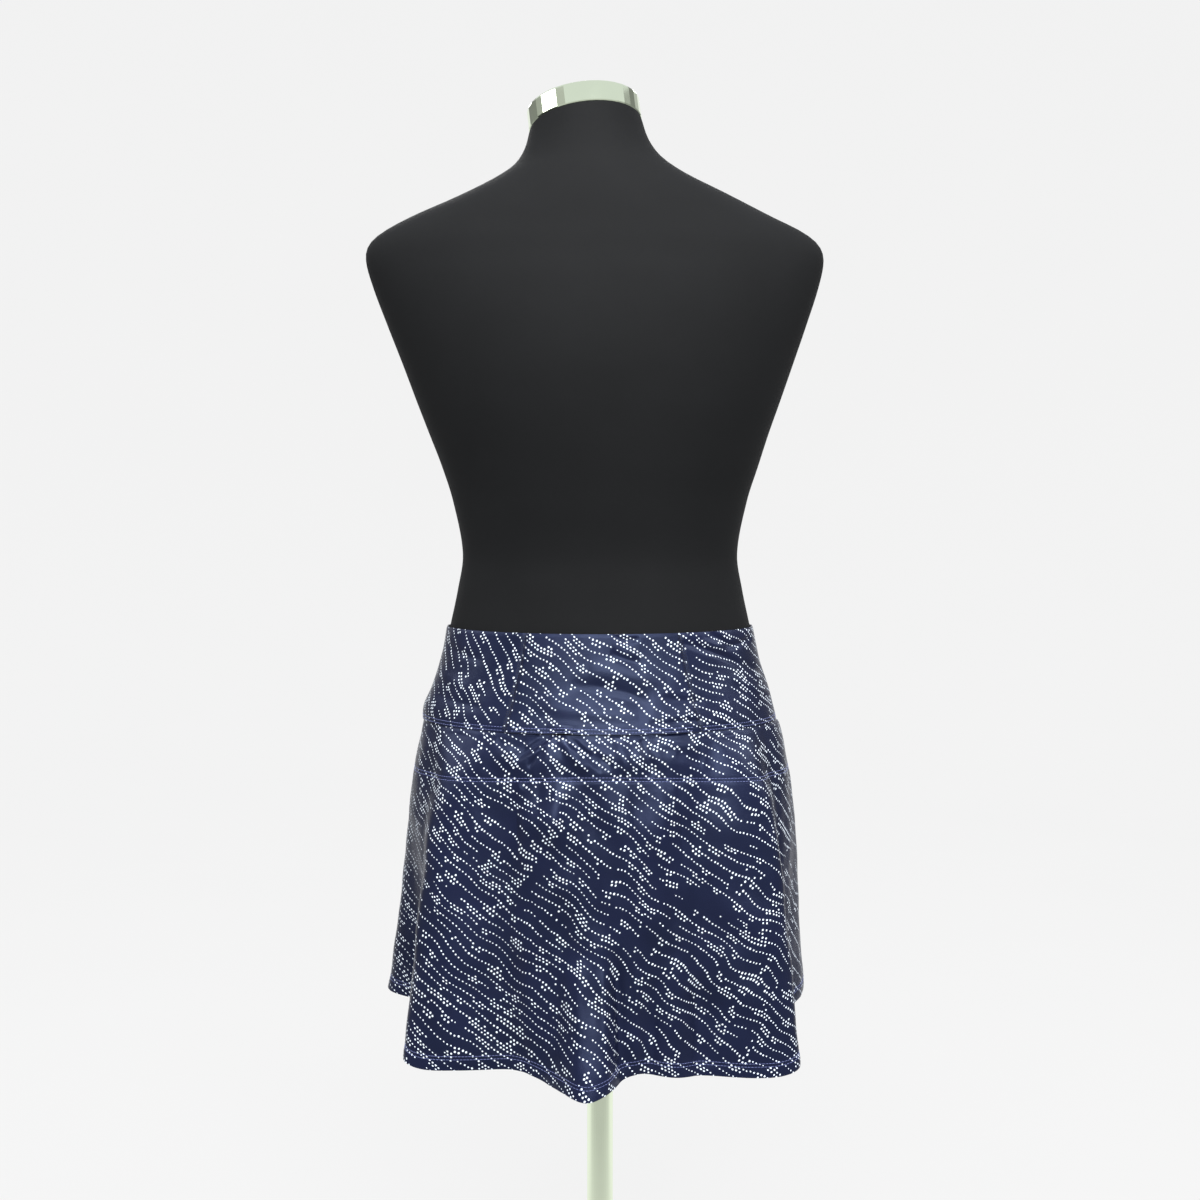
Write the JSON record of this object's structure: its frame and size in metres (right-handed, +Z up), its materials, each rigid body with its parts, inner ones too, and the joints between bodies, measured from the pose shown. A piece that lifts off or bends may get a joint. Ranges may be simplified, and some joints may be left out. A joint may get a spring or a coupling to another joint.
{
  "type": "athletic skirt on a dress form",
  "caption": "Short flared athletic skirt with a deep panelled yoke and a stitched back pocket line, worn by a limbless dress form on a pole and round foot.",
  "frame": {"origin": "centre of the stand's foot on its underside, on the floor", "axes": "+Z up, the wearer faces -Y so the skirt's back faces +Y, +X to the wearer's left"},
  "size_m": [0.438, 0.3027, 1.1752],
  "materials": {
    "skirt_fabric": "smooth stretch jersey with a printed dot pattern",
    "form_jersey": "fine black jersey pulled over a hard form",
    "form_metal": "bright plated metal"
  },
  "bodies": {
    "root": {"yoke_back_centre": "skirt_fabric", "yoke_back_left": "skirt_fabric", "yoke_back_right": "skirt_fabric", "yoke_front": "skirt_fabric", "skirt_back": "skirt_fabric", "skirt_front": "skirt_fabric", "form_torso": "form_jersey", "form_neck_cap": "form_metal", "form_pole": "form_metal", "form_foot": "form_metal"}
  },
  "joints": []
}
